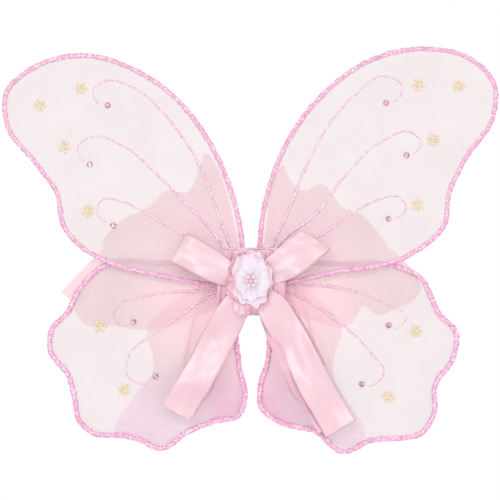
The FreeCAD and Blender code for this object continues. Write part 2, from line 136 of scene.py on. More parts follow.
class Paint:
    """A Principled material with short ways to add nodes to it."""

    def __init__(self, name, **values):
        self.mat = bpy.data.materials.new(name)
        self.mat.use_nodes = True
        self.tree = self.mat.node_tree
        self.shader = self.tree.nodes["Principled BSDF"]
        self.coord = self.tree.nodes.new("ShaderNodeTexCoord").outputs["Object"]
        for key, value in values.items():
            self.put(key.replace("_", " "), value)

    def feed(self, spot, value):
        """Links the input to the value if that is a node's output, and sets it if not."""
        if isinstance(value, bpy.types.NodeSocket):
            self.tree.links.new(value, spot)
        else:
            spot.default_value = value

    def put(self, socket, value):
        self.feed(self.shader.inputs[socket], value)

    def node(self, kind, **settings):
        """A new node: p_name sets a property, i0 or i1 an input by number, others by name."""
        made = self.tree.nodes.new("ShaderNode" + kind)
        for key in [k for k in settings if k.startswith("p_")]:
            setattr(made, key[2:], settings.pop(key))
        for key, value in settings.items():
            numbered = key[0] == "i" and key[1:].isdigit()
            self.feed(made.inputs[int(key[1:]) if numbered else key.replace("_", " ")], value)
        return made

    def noise(self, scale, detail=2.0, vector=None, roughness=0.5):
        return self.node("TexNoise", Vector=vector or self.coord, Scale=scale,
                         Detail=detail, Roughness=roughness).outputs["Fac"]

    def cells(self, scale, vector=None):
        return self.node("TexVoronoi", Vector=vector or self.coord, Scale=scale)

    def cell_tone(self, scale):
        """A flat random colour to each cell, as separate red, green and blue."""
        return self.node("SeparateColor", Color=self.cells(scale).outputs["Color"])

    def stretch(self, x, y, z, vector=None):
        return self.node("Mapping", Vector=vector or self.coord,
                         Scale=(x, y, z)).outputs["Vector"]

    def axis(self, letter, vector=None):
        return self.node("SeparateXYZ", Vector=vector or self.coord).outputs[letter]

    def ramp(self, fac, stops):
        made = self.node("ValToRGB", Fac=fac)
        bar = made.color_ramp.elements
        while len(bar) < len(stops):
            bar.new(0.5)
        for spot, (at, color) in zip(bar, stops):
            spot.position = at
            spot.color = color
        return made.outputs["Color"]

    def step(self, value, low, high, at_low=1.0, at_high=0.0):
        """A smooth change from one number to another while the value goes from low to high."""
        return self.node("MapRange", p_interpolation_type="SMOOTHSTEP", Value=value,
                         From_Min=low, From_Max=high, To_Min=at_low,
                         To_Max=at_high).outputs["Result"]

    def math(self, kind, a, b=0.0):
        return self.node("Math", p_operation=kind, i0=a, i1=b).outputs[0]

    def mix(self, fac, a, b):
        return self.node("Mix", p_data_type="RGBA", i0=fac, i6=a, i7=b).outputs[2]

    def bump(self, height, strength, distance):
        made = self.node("Bump", Height=height, Strength=strength, Distance=distance)
        self.put("Normal", made.outputs["Normal"])


def rgb(r, g, b):
    return (r, g, b, 1.0)


WHITE = rgb(1, 1, 1)
BLACK = rgb(0, 0, 0)


def glitter(name, dark, middle, light, scale, metallic):
    p = Paint(name, Metallic=metallic, Roughness=0.34, Specular_IOR_Level=0.6)
    flake = p.cell_tone(scale)
    color = p.ramp(flake.outputs["Red"], [(0.0, dark), (0.32, middle), (0.62, middle),
                                          (0.8, light), (1.0, WHITE)])
    cloud = p.noise(190.0, 3.0)
    p.put("Base Color", p.mix(p.math("MULTIPLY", cloud, 0.5), color, middle))
    p.bump(flake.outputs["Green"], 0.9, 0.0005)
    return p.mat


GLITTER = glitter("glitter_pink", rgb(0.72, 0.22, 0.46), rgb(0.90, 0.42, 0.65),
                  rgb(0.99, 0.74, 0.87), scale=1000.0, metallic=0.1)
GLITTER_FINE = glitter("glitter_fine", rgb(0.84, 0.40, 0.60), rgb(0.93, 0.58, 0.74),
                       rgb(0.99, 0.86, 0.93), scale=1100.0, metallic=0.15)
GOLD = glitter("gold_glitter", rgb(0.76, 0.54, 0.28), rgb(0.92, 0.74, 0.48),
               rgb(0.99, 0.94, 0.78), scale=1500.0, metallic=0.1)

# where the sheer cloths change, in metres from the middle, up, or to either side
# within these distances of the middle the cloth is painted lighter, painted light against the
# bow's shade
PAINTED_LIGHT_NEAR, PAINTED_LIGHT_FAR = 0.035, 0.135
DIP_LOW, DIP_HIGH = -0.118, -0.058
DIP_NEAR, DIP_FAR = 0.018, 0.062
FADE_LOW, FADE_HIGH = 0.025, 0.037
DIP_FAR_COLOR = rgb(1.0, 0.60, 0.96)
UNEVEN_MEAN = 0.09          # about what the net and the patches add to the cover


def sheer(name, color, tint, cover, root, dip=None, fade=None):
    """Thin see-through cloth: a fine net with soft cloudy colour.

    root is its colour near the object's middle, where it is painted lighter: painted light
    against the shade that the bow and the wings cast there. dip is the colour at its bottom edge
    beside the gap, and fade how much of the cover is kept below and above a narrow band."""
    p = Paint(name, Roughness=0.55, Sheen_Weight=0.25, Sheen_Roughness=0.4,
              Specular_IOR_Level=0.25)
    base = p.ramp(p.noise(26.0, 3.0), [(0.32, color), (0.68, tint)])
    away = p.node("VectorMath", p_operation="LENGTH", i0=p.coord).outputs["Value"]
    # painted light: near the middle the cloth turns to its lighter root colour, against the
    # shade of the bow and wings
    base = p.mix(p.step(away, PAINTED_LIGHT_NEAR, PAINTED_LIGHT_FAR), base, root)
    threads = p.cells(900.0, p.stretch(1.0, 1.0, 0.6)).outputs["Distance"]
    net = p.math("MULTIPLY", threads, 0.10)
    patches = p.math("MULTIPLY", p.noise(60.0, 4.0), 0.12)
    specks = p.math("LESS_THAN", p.cells(95.0).outputs["Distance"], 0.055)
    cover_now = p.math("ADD", p.math("ADD", net, patches), cover - UNEVEN_MEAN)
    cover_now = p.math("ADD", cover_now, p.math("MULTIPLY", specks, 0.35))
    if dip is not None:
        drop = p.step(p.axis("Z"), DIP_LOW, DIP_HIGH)
        near = p.step(p.math("ABSOLUTE", p.axis("X")), DIP_NEAR, DIP_FAR)
        base = p.mix(drop, base, p.mix(near, DIP_FAR_COLOR, dip))
        thicker = p.math("MULTIPLY", drop, near)
        cover_now = p.math("ADD", cover_now, p.math("MULTIPLY", thicker, 0.28))
    if fade is not None:
        kept = p.step(p.axis("Z"), FADE_LOW, FADE_HIGH, *fade)
        cover_now = p.math("MULTIPLY", cover_now, kept)
    p.put("Base Color", base)
    p.put("Alpha", cover_now)
    p.bump(threads, 0.25, 0.0002)
    return p.mat


# each root colour is painted light, lighter than the cloth, against the shade near the bow; the
# upper wings' film and organza are lightened less, as less shade falls there
FILM = sheer("film_nylon", rgb(0.69, 0.56, 0.58), rgb(0.73, 0.61, 0.63), cover=0.53,
             root=rgb(0.97, 0.69, 0.75))
FILM_UP = sheer("film_nylon_up", rgb(0.69, 0.56, 0.58), rgb(0.73, 0.61, 0.63), cover=0.53,
                root=rgb(0.82, 0.60, 0.65))
ORGANZA_UP = sheer("organza_pink", rgb(0.88, 0.43, 0.52), rgb(0.90, 0.50, 0.58), cover=0.52,
                   root=rgb(0.91, 0.47, 0.57), fade=(0.0, 1.0))
ORGANZA_END = sheer("organza_end", rgb(0.88, 0.43, 0.52), rgb(0.90, 0.50, 0.58), cover=0.52,
                    root=rgb(1.0, 0.58, 0.68), fade=(1.0, 0.0))
ORGANZA_DEEP = sheer("organza_deep", rgb(0.90, 0.42, 0.53), rgb(0.90, 0.49, 0.59), cover=0.50,
                     root=rgb(1.0, 0.60, 0.70), dip=rgb(1.0, 0.30, 0.76))


def satin(name, color, shade, roughness):
    p = Paint(name, Roughness=roughness, Sheen_Weight=0.1, Sheen_Roughness=0.35,
              Specular_IOR_Level=1.0, Coat_Weight=0.9, Coat_Roughness=0.33)
    p.put("Base Color", p.ramp(p.noise(45.0, 3.0), [(0.3, shade), (0.7, color)]))
    weave = p.node("TexWave", Vector=p.coord, Scale=900.0, Distortion=1.5).outputs["Fac"]
    p.bump(p.math("ADD", p.math("MULTIPLY", weave, 0.25), p.noise(160.0, 3.0)), 0.12, 0.0004)
    return p.mat


SATIN = satin("satin_pink", rgb(0.81, 0.56, 0.62), rgb(0.78, 0.50, 0.57),
              roughness=0.40)
# a deeper satin, for the patch and, as painted shade, for the right tail's turned-under fold
SATIN_DEEP = satin("satin_deep", rgb(0.80, 0.48, 0.60), rgb(0.74, 0.38, 0.51),
                   roughness=0.32)


def cloth(name, color, shade, scale, depth):
    p = Paint(name, Roughness=0.9, Sheen_Weight=0.4, Sheen_Roughness=0.5,
              Specular_IOR_Level=0.2)
    fuzz = p.noise(scale, 5.0)
    p.put("Base Color", p.ramp(fuzz, [(0.35, shade), (0.65, color)]))
    p.bump(fuzz, 0.6, depth)
    return p.mat


FELT = cloth("felt_pink", rgb(0.84, 0.52, 0.62), rgb(0.76, 0.42, 0.54),
             scale=900.0, depth=0.0006)
WADDING = cloth("wrap_pink", rgb(0.86, 0.60, 0.67), rgb(0.80, 0.52, 0.60),
                scale=500.0, depth=0.0005)
TAPE = cloth("cotton_tape", rgb(0.90, 0.78, 0.81), rgb(0.84, 0.70, 0.74),
             scale=1600.0, depth=0.0003)


def elastic():
    p = Paint("covered_elastic", Roughness=0.75, Sheen_Weight=0.3, Specular_IOR_Level=0.3)
    braid = p.node("TexWave", Vector=p.coord, Scale=420.0, Distortion=3.0,
                   Detail=2.0).outputs["Fac"]
    p.put("Base Color", p.ramp(braid, [(0.2, rgb(0.90, 0.84, 0.86)),
                                       (0.8, rgb(0.96, 0.93, 0.94))]))
    p.bump(braid, 0.5, 0.0004)
    return p.mat


ELASTIC = elastic()


def stone_paint(name, low, middle, high):
    p = Paint(name, Metallic=0.3, Roughness=0.08, Coat_Weight=0.8,
              Coat_Roughness=0.03, Specular_IOR_Level=0.9)
    glint = p.cell_tone(700.0).outputs["Red"]
    p.put("Base Color", p.ramp(glint, [(0.0, low), (0.5, middle), (1.0, high)]))
    return p.mat


STONE = stone_paint("stone_pink", rgb(0.42, 0.14, 0.22), rgb(0.60, 0.28, 0.39),
                    rgb(0.95, 0.80, 0.88))
# the lighter paint for each stone's front facet: a painted highlight
STONE_TABLE_HIGHLIGHT = stone_paint("stone_table_highlight", rgb(0.55, 0.27, 0.37), rgb(0.74, 0.48, 0.59),
                          rgb(0.97, 0.88, 0.93))


def bead_paint():
    p = Paint("bead_pearl", Roughness=0.18, Coat_Weight=0.6, Coat_Roughness=0.08,
              Specular_IOR_Level=0.8)
    p.put("Base Color", p.ramp(p.noise(300.0, 3.0), [(0.35, rgb(0.86, 0.50, 0.62)),
                                                     (0.65, rgb(0.93, 0.74, 0.82))]))
    return p.mat


BEAD = bead_paint()


def petal_paint(name, inner, outer, tip, streaks):
    """Cloth petals with fine streaks running out from the middle."""
    p = Paint(name, Roughness=0.6, Sheen_Weight=0.35, Sheen_Roughness=0.4,
              Specular_IOR_Level=0.35)
    uv = p.node("UVMap", p_uv_map="petal").outputs["UV"]
    streak = p.noise(1.0, 4.0, p.stretch(70.0, 2.6, 1.0, uv), 0.65)
    base = p.ramp(p.axis("Y", uv), [(0.0, inner), (0.72, outer), (0.93, tip), (1.0, tip)])
    p.put("Base Color", p.mix(p.ramp(streak, [(0.42, BLACK), (0.62, WHITE)]), base, streaks))
    p.bump(streak, 0.45, 0.0008)
    return p.mat


PETAL_OVER = petal_paint("petal_over", rgb(0.72, 0.62, 0.72), rgb(0.76, 0.66, 0.74),
                         rgb(0.80, 0.54, 0.64), rgb(0.82, 0.79, 0.86))
PETAL_UNDER = petal_paint("petal_under", rgb(0.72, 0.42, 0.52), rgb(0.79, 0.48, 0.57),
                          rgb(0.74, 0.33, 0.46), rgb(0.84, 0.62, 0.70))


def steel():
    p = Paint("wire_steel", Metallic=0.85, Roughness=0.38)
    lines = p.noise(600.0, 2.0, p.stretch(1.0, 1.0, 0.3))
    p.put("Base Color", p.ramp(lines, [(0.3, rgb(0.62, 0.52, 0.55)),
                                       (0.7, rgb(0.80, 0.70, 0.73))]))
    p.bump(lines, 0.2, 0.0002)
    return p.mat


STEEL = steel()


def plain(name, shade, color, roughness, scale, detail):
    p = Paint(name, Roughness=roughness)
    p.put("Base Color", p.ramp(p.noise(scale, detail), [(0.3, shade), (0.7, color)]))
    return p.mat


BOARD = plain("board", rgb(0.80, 0.76, 0.74), rgb(0.88, 0.85, 0.83),
              roughness=0.6, scale=400.0, detail=4.0)
floor.data.materials.append(plain("floor_pale", rgb(0.88, 0.88, 0.88), rgb(0.90, 0.90, 0.90),
                                  roughness=0.9, scale=9.0, detail=2.0))

# ---------------------------------------------------------------- mesh helpers


def build(name, verts, faces, paint, smooth_it=True):
    mesh = bpy.data.meshes.new(name)
    mesh.from_pydata([tuple(v) for v in verts], [], faces)
    mesh.update()
    if smooth_it:
        mesh.polygons.foreach_set("use_smooth", [True] * len(mesh.polygons))
    mesh.materials.append(paint)
    made = bpy.data.objects.new(name, mesh)
    scene.collection.objects.link(made)
    return made


def grain(x, y, z, scale):
    return noise.noise(Vector((x * scale, y * scale, z * scale)))


def unit(a, b):
    length = math.hypot(a, b)
    return (a / length, b / length)


def tangents(points):
    """The direction of a smooth curve at each of its points."""
    out = []
    last = len(points) - 1
    for i, here in enumerate(points):
        before, after = points[max(i - 1, 0)], points[min(i + 1, last)]
        if 0 < i < last:
            back, ahead = math.dist(before, here), math.dist(here, after)
            out.append(unit(*((here[j] - before[j]) / back ** 2
                              + (after[j] - here[j]) / ahead ** 2 for j in (0, 1))))
        else:
            out.append(unit(after[0] - before[0], after[1] - before[1]))
    for end, near in ((0, 1), (-1, -2)):
        chord, first = out[end], out[near]
        turn = 2.0 * (chord[0] * first[0] + chord[1] * first[1])
        out[end] = unit(turn * chord[0] - first[0], turn * chord[1] - first[1])
    return out


def curve_2d(points, step=2.0):
    """A smooth run through the points, as (point, direction), Hermite between them."""
    way = tangents(points)
    out = []
    for i in range(len(points) - 1):
        p, q, a, b = points[i], points[i + 1], way[i], way[i + 1]
        length = math.dist(p, q)
        count = max(2, int(length / step))
        for k in range(count + (i == len(points) - 2)):
            t = k / count
            h1, h2 = 2 * t ** 3 - 3 * t ** 2 + 1, t ** 3 - 2 * t ** 2 + t
            h3, h4 = 3 * t ** 2 - 2 * t ** 3, t ** 3 - t ** 2
            d1, d2 = 6 * t ** 2 - 6 * t, 3 * t ** 2 - 4 * t + 1
            d3, d4 = -d1, 3 * t ** 2 - 2 * t
            spot = tuple(h1 * p[j] + h2 * a[j] * length + h3 * q[j] + h4 * b[j] * length
                         for j in (0, 1))
            head = unit(*(d1 * p[j] + d2 * a[j] * length + d3 * q[j] + d4 * b[j] * length
                          for j in (0, 1)))
            out.append((spot, head))
    return out


def shift(run, side):
    """The run moved sideways, to the left of its direction where side is positive."""
    return [((p[0] - side * d[1], p[1] + side * d[0]), d) for p, d in run]


def rounded(points):
    """A closed outline with its corners worn off, in three goes."""
    for _ in range(3):
        out = []
        for a, b in zip(points, points[1:] + points[:1]):
            out.append((0.75 * a[0] + 0.25 * b[0], 0.75 * a[1] + 0.25 * b[1]))
            out.append((0.25 * a[0] + 0.75 * b[0], 0.25 * a[1] + 0.75 * b[1]))
        points = out
    return points


def inside_polygon(x, z, loop):
    """Whether a line to the right of the point crosses the loop an odd number of times."""
    found = False
    for (x1, z1), (x2, z2) in zip(loop, loop[1:] + loop[:1]):
        if (z1 > z) != (z2 > z) and x < (x2 - x1) * (z - z1) / (z2 - z1) + x1:
            found = not found
    return found


def box_of(loop):
    """The loop's least X, greatest X, least Z and greatest Z."""
    xs, zs = [p[0] for p in loop], [p[1] for p in loop]
    return min(xs), max(xs), min(zs), max(zs)


def sheet_mesh(name, loop, depth, paint, step):
    """A single-layer sheet inside the loop (mm, across and up), depth(x, z) gives Y in mm."""
    points = [Vector(p) for p in loop]
    count = len(points)
    low_x, high_x, low_z, high_z = box_of(loop)
    row = 0
    z = low_z + step * 0.5
    while z < high_z:
        x = low_x + (step * 0.5 if row % 2 else 0.0)
        while x < high_x:
            near = min((x - a) ** 2 + (z - b) ** 2 for a, b in loop)
            if near > (0.45 * step) ** 2 and inside_polygon(x, z, loop):
                points.append(Vector((x, z)))
            x += step
        z += step * 0.87
        row += 1
    edges = [(i, (i + 1) % count) for i in range(count)]
    flat, _, faces, _, _, _ = delaunay_2d_cdt(points, edges, [], 1, 1e-6)
    verts = [(v.x * MM, depth(v.x, v.y) * MM, v.y * MM) for v in flat]
    return build(name, verts, [list(reversed(f)) for f in faces], paint)


def bead_line(run, depth, half_wide, half_deep, rough, seed, verts, faces, segs, taper=0.0):
    """Adds an uneven rounded line of glitter glue along the run to verts and faces."""
    first = len(verts)
    for k, (p, d) in enumerate(run):
        nx, nz = -d[1], d[0]
        y = depth(p[0], p[1])
        for s in range(segs):
            a = 2.0 * math.pi * s / segs
            swell = 1.0 + rough * grain(p[0] + 7.3 * s, seed, p[1] - 5.1 * s, 0.55)
            swell *= 1.0 + taper * (1.0 - 2.0 * k / len(run))
            u, v = half_wide * swell * math.cos(a), half_deep * swell * math.sin(a)
            verts.append(((p[0] + nx * u) * MM, (y + v) * MM, (p[1] + nz * u) * MM))
    rows = len(run)
    for k in range(rows - 1):
        for s in range(segs):
            a, b = first + k * segs + s, first + k * segs + (s + 1) % segs
            faces.append([a, b, b + segs, a + segs])
    faces.append([first + s for s in range(segs)])
    faces.append([first + (rows - 1) * segs + s for s in reversed(range(segs))])


# ---------------------------------------------------------------- the four wings

# Points are in mm, across and up. inside is +1 where the wing lies to the left of its edge's
# run, depth is the Y of its wire's middle, and where front is true the film is in front of it.

WINGS = {
    "upper_left": {
        "inside": 1.0, "depth": -13.6, "front": True,
        "edge": [(-6, 35), (-17, 85), (-40, 133), (-73, 172), (-104, 192), (-149, 205),
                 (-196, 194), (-222, 170), (-222, 142), (-194, 103), (-176, 77),
                 (-171, 50), (-155, 30), (-133, 17), (-77, 2), (-33, -6)],
        "core": [(-22, -4), (-10, 8), (-4, 22)],
        "veins": [
            [(-14, 22), (-21, 38), (-31, 64), (-46, 103), (-77, 149), (-108, 175),
             (-130, 180), (-142, 171), (-137, 160)],
            [(-22, 22), (-30, 38), (-56, 67), (-85, 96), (-116, 122), (-143, 130),
             (-156, 119), (-151, 108)],
            [(-30, 24), (-61, 42), (-85, 56), (-116, 71), (-134, 73), (-138, 61),
             (-130, 53)],
        ],
        "gems": [(-129, 158), (-145, 105), (-124, 50)],
        "gold": [(-153, 173), (-190, 158), (-168, 121), (-147, 63)],
    },
    "upper_right": {
        "inside": -1.0, "depth": -13.6, "front": True,
        "edge": [(6, 35), (14, 83), (35, 133), (64, 170), (110, 202), (158, 211),
                 (198, 202), (221, 177), (220, 148), (193, 106), (180, 77),
                 (176, 50), (157, 30), (136, 18), (71, 5), (32, -4)],
        "core": [(22, -3), (10, 8), (4, 22)],
        "veins": [
            [(15, 22), (22, 38), (35, 66), (50, 104), (71, 142), (95, 169), (120, 184),
             (136, 174), (128, 161)],
            [(20, 26), (30, 38), (58, 60), (84, 94), (120, 127), (143, 134), (153, 124),
             (146, 115)],
            [(34, 26), (64, 42), (84, 56), (115, 73), (134, 75), (139, 63), (130, 57)],
        ],
        "gems": [(121.5, 160), (140, 113), (124, 56)],
        "gold": [(151, 176), (187, 175.5), (164, 127), (150, 68)],
    },
    "lower_left": {
        "inside": 1.0, "depth": -9.0, "front": False,
        "edge": [(-34, 18), (-80, 18.5), (-131, 17), (-149, 3), (-158, -9), (-167, -27),
                 (-181, -42), (-183, -63), (-166, -87), (-161, -107), (-157, -126),
                 (-141, -140), (-122, -141), (-104, -144), (-80, -153), (-56, -138),
                 (-34, -129), (-9, -122), (-3, -104), (-8, -79), (-11, -54), (-13, -36)],
        "core": [(-11, -22), (-14, -6), (-22, 12)],
        "veins": [
            [(-26, -8), (-39, -9), (-67, -10), (-96, -14), (-118, -21), (-124, -33),
             (-113, -41)],
            [(-26, -12), (-39, -15), (-67, -34), (-90, -49), (-110, -67), (-111, -86),
             (-93, -92)],
        ],
        "gems": [(-106, -37), (-86, -86)],
        "gold": [(-136, -41), (-114, -98)],
    },
    "lower_right": {
        "inside": -1.0, "depth": -9.0, "front": False,
        "edge": [(34, 18), (80, 18), (133, 15), (156, 3), (164, -13), (171, -28),
                 (186, -44), (184, -71), (168, -95), (167, -120), (153, -140),
                 (134, -144), (111, -145), (83, -156), (56, -137), (27, -130),
                 (7, -114), (6, -95), (13, -71), (14, -50), (13, -36)],
        "core": [(11, -22), (14, -6), (22, 12)],
        "veins": [
            [(28, -5), (44, -4), (87, -8), (120, -20), (140, -34), (131, -43)],
            [(26, -8), (41, -13), (74, -33), (105, -61), (119, -85), (106, -95)],
            [(24, -12), (34, -20), (50, -44), (67, -76)],
        ],
        "gems": [(124, -40), (100, -93)],
        "gold": [(148.5, -45), (124, -104)],
    },
}

FILM_OFF_WIRE = 1.3         # from the wire's middle to the film; these are all in mm
FILM_INSET = 1.6
FILM_STEP = 6.0             # between the points of the film's mesh
EDGING_INSET = 2.2
VEIN_OFF_FILM = 0.25        # how far in front of the film each of these is put
STONE_OFF_FILM = 0.05
GOLD_OFF_FILM = 0.7
GOLD_STEPS = 48
GOLD_SEGS = 8
# each ring of glue in a gold flower: radius, how far its lobes stand out, half thickness
GOLD_RINGS = ((4.15, 0.95, 1.05), (1.7, 0.0, 0.75))
STONE_SIDES = 8
# each ring of a stone: radius, Y, and how far it is turned, in sides
STONE_RINGS = ((2.9, 0.0, 0.0), (2.95, -0.6, 0.0), (2.35, -1.35, 0.5), (1.35, -2.0, 0.0))

hinges = {j["child"]: j for j in frame["joints"]}


def bend_at_root(piece, wing, before=9.0, after=12.0):
    """Looks up the wing's fold axis and outward way, and bakes the piece's place into its mesh.
    """
    joint = hinges["wing_" + wing]
    axis = Vector(joint["axis"])
    outward = axis.cross(Vector((0, 1, 0))).normalized()
    if outward.x * (-1.0 if wing.endswith("left") else 1.0) < 0:
        outward.negate()
    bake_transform(piece)


def add_film(wing, facts, run, film_depth):
    loop = [p for p, d in shift(run, facts["inside"] * FILM_INSET)] + facts["core"]
    paint = FILM_UP if facts["front"] else FILM
    film = sheet_mesh("skin_" + wing, loop, film_depth, paint, FILM_STEP)
    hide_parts("film_" + wing)
    bend_at_root(film, wing)


def add_edging(wing, facts, run, seed):
    """Glitter edging over the wire, carried on under the centre patch."""
    path = shift(run, facts["inside"] * EDGING_INSET)
    (p, d), (q, e) = path[0], path[-1]
    head = [((p[0] - d[0] * k, p[1] - d[1] * k), d) for k in (12, 10, 8, 6, 4, 2)]
    tail = [((q[0] + e[0] * k, q[1] + e[1] * k), e) for k in (2, 4, 6, 8, 10)]
    verts, faces = [], []
    bead_line(head + path + tail, lambda x, z: facts["depth"], half_wide=2.25, half_deep=1.75,
              rough=0.42, seed=seed, verts=verts, faces=faces, segs=10)
    edging = build("edge_glitter_" + wing, verts, faces, GLITTER)
    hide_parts("edging_" + wing)
    bend_at_root(edging, wing)


def add_veins(wing, facts, film_depth, seed):
    verts, faces = [], []
    for points in facts["veins"]:
        bead_line(curve_2d(points, 1.6), lambda x, z: film_depth(x, z) - VEIN_OFF_FILM,
                  half_wide=0.86, half_deep=0.42, rough=0.9, seed=seed, verts=verts,
                  faces=faces, segs=6, taper=0.4)
    veins = build("vein_glitter_" + wing, verts, faces, GLITTER_FINE)
    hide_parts("veins_" + wing)
    bend_at_root(veins, wing)


def stone(gx, y, gz, verts, faces):
    """Adds a faceted stone: an upright girdle, two tiers of triangles and a flat table."""
    first, n = len(verts), STONE_SIDES
    for radius, lift, turn in STONE_RINGS:
        for k in range(n):
            a = 2.0 * math.pi * (k + turn) / n
            verts.append(((gx + radius * math.cos(a)) * MM, (y + lift) * MM,
                          (gz + radius * math.sin(a)) * MM))
    for r in range(len(STONE_RINGS) - 1):
        for k in range(n):
            a, b = first + n * r + k, first + n * r + (k + 1) % n
            if r == 0:
                faces.append([a, b, b + n, a + n])
            elif r == 1:
                faces += [[a, b, a + n], [b, b + n, a + n]]
            else:
                faces += [[a, b, b + n], [a, b + n, a + n]]
    faces.append([first + k for k in reversed(range(n))])
    faces.append([len(verts) - n + k for k in range(n)])


def add_stones(wing, facts, film_depth):
    verts, faces = [], []
    for gx, gz in facts["gems"]:
        stone(gx, film_depth(gx, gz) - STONE_OFF_FILM, gz, verts, faces)
    gems = build("stones_" + wing, verts, faces, STONE, smooth_it=False)
    gems.data.materials.append(STONE_TABLE_HIGHLIGHT)
    # the facet facing the front takes the lighter paint, a painted highlight
    for facet in gems.data.polygons:
        faces_forward = facet.normal.y < -0.98
        facet.material_index = int(faces_forward)
    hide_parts("gems_" + wing)
    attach(gems, "wing_" + wing)


def gold_flower(gx, y, gz, turn, verts, faces):
    """Adds a six-lobed ring of glue and a small ring in its middle."""
    for reach, wave, fat in GOLD_RINGS:
        first = len(verts)
        for k in range(GOLD_STEPS):
            a = 2.0 * math.pi * k / GOLD_STEPS
            r = reach + wave * math.cos(6 * a + turn)
            for s in range(GOLD_SEGS):
                b = 2.0 * math.pi * s / GOLD_SEGS
                f = fat * (1.0 + 0.25 * grain(gx + k, turn, s, 0.7))
                out = r + f * math.cos(b)
                verts.append(((gx + out * math.cos(a)) * MM, (y + 0.7 * f * math.sin(b)) * MM,
                              (gz + out * math.sin(a)) * MM))
        for k in range(GOLD_STEPS):
            here = first + GOLD_SEGS * k
            there = first + GOLD_SEGS * ((k + 1) % GOLD_STEPS)
            for s in range(GOLD_SEGS):
                t = (s + 1) % GOLD_SEGS
                faces.append([here + s, here + t, there + t, there + s])


def add_gold(wing, facts, film_depth):
    verts, faces = [], []
    for turn, (gx, gz) in enumerate(facts["gold"]):
        gold_flower(gx, film_depth(gx, gz) - GOLD_OFF_FILM, gz, turn, verts, faces)
    gold = build("gold_" + wing, verts, faces, GOLD)
    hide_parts("gold_flowers_" + wing)
    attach(gold, "wing_" + wing)


def make_wing(wing, facts):
    film_y = facts["depth"] + (-FILM_OFF_WIRE if facts["front"] else FILM_OFF_WIRE)
    # the left wings share one grain and the right wings another
    seed = 3.7 * len(wing) + 11.0 * (facts["inside"] > 0)

    def film_depth(x, z):
        """Slack waves about 45 mm long, with short ripples over them."""
        return film_y + 0.42 * grain(x, seed, z, 0.022) + 0.12 * grain(x, seed, z, 0.09)

    run = curve_2d(facts["edge"])
    add_film(wing, facts, run, film_depth)
    add_edging(wing, facts, run, seed)
    add_veins(wing, facts, film_depth, seed)
    add_stones(wing, facts, film_depth)
    add_gold(wing, facts, film_depth)
    frame["nodes"]["wire_" + wing].data.materials[0] = STEEL


for wing, facts in WINGS.items():
    make_wing(wing, facts)

# ---------------------------------------------------------------- organza behind

FOLDS_OPEN = 60.0           # mm from their root to where the folds reach their full depth
ORGANZA_STEP = 3.2

# Each piece has its wing, its depth in Y, the point that its folds run out from, its paint
# and its outline, all in mm.

ORGANZA = {
    "organza_loop_left": ("upper_left", -10.1, (-10, 20), ORGANZA_UP,
                          [(-8, 22), (-13, 40), (-22, 84), (-40, 122), (-47, 100),
                           (-55, 79), (-64, 80), (-78, 83), (-86, 72), (-99, 62),
                           (-114, 58), (-130, 42), (-139, 29), (-137, 25.5), (-90, 25),
                           (-38, 24), (-22, 12)]),
    "organza_loop_right": ("upper_right", -10.1, (10, 20), ORGANZA_UP,
                           [(8, 22), (13, 40), (17, 84), (28, 110), (36, 88), (49, 79),
                            (58, 87), (66, 88), (74, 78), (80, 66), (96, 62), (103, 58),
                            (116, 42), (125, 30), (123, 26), (90, 25), (38, 24), (22, 12)]),
    "organza_end_left": ("lower_left", -6.4, (-12, 2), ORGANZA_END,
                         [(-14, 30), (-60, 39), (-116, 40), (-126, 35), (-141, 22),
                          (-168.5, -7), (-171, -9.5), (-168.5, -12), (-163, -17), (-158, -30),
                          (-150, -40), (-140, -42), (-124, -39), (-96, -46), (-60, -38),
                          (-30, -24), (-16, -12)]),
    "organza_end_right": ("lower_right", -6.4, (12, 2), ORGANZA_END,
                          [(14, 30), (60, 39), (112, 39), (128, 28), (148, 8), (155, -6),
                           (147, -19), (128, -26), (114, -34), (101, -19), (94, -36), (82, -44),
                           (55, -36), (28, -24), (16, -12)]),
    "organza_tail_left": ("lower_left", -4.9, (-10, -14), ORGANZA_DEEP,
                          [(-16, 4), (-40, 0), (-80, -24), (-97, -44), (-88, -66),
                           (-88, -85), (-102, -98), (-125, -132), (-121, -140),
                           (-80, -151), (-56, -136), (-34, -128), (-11, -120),
                           (-4, -104), (-9, -78), (-13, -54), (-14, -36), (-12, -20)]),
    "organza_tail_right": ("lower_right", -4.9, (10, -14), ORGANZA_DEEP,
                           [(16, 4), (40, 0), (72, -24), (84, -44), (76, -62),
                            (73, -86), (86, -108), (109, -140), (84, -154), (57, -135),
                            (28, -128), (9, -113), (7, -95), (14, -70), (15, -50),
                            (15, -36), (12, -20)]),
}


def add_organza(name, wing, base, root, paint, points):
    loop = rounded(points)

    def folds(x, z):
        a = math.atan2(z - root[1], x - root[0])
        r = math.hypot(x - root[0], z - root[1])
        open_out = min(1.0, r / FOLDS_OPEN)
        wave = 0.75 * math.sin(17.0 * a + 0.9) + 0.45 * math.sin(31.0 * a + root[0])
        return base + open_out * wave * 0.4 + 0.25 * grain(x, base, z, 0.05)

    piece = sheet_mesh("sheer_" + name, loop, folds, paint, ORGANZA_STEP)
    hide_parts(name)
    bend_at_root(piece, wing)


for name, details in ORGANZA.items():
    add_organza(name, *details)

# ---------------------------------------------------------------- ribbons

RIBBON_HALF = 15.0
RIBBON_THICK = 0.4
RIBBON_ROWS = 10            # rows of faces between two stations
RIBBON_ACROSS = 14          # faces across the ribbon
LOOP_BEND = (9.0, 16.0)     # mm before and after the fold line
TAIL_BEND = (6.0, 18.0)


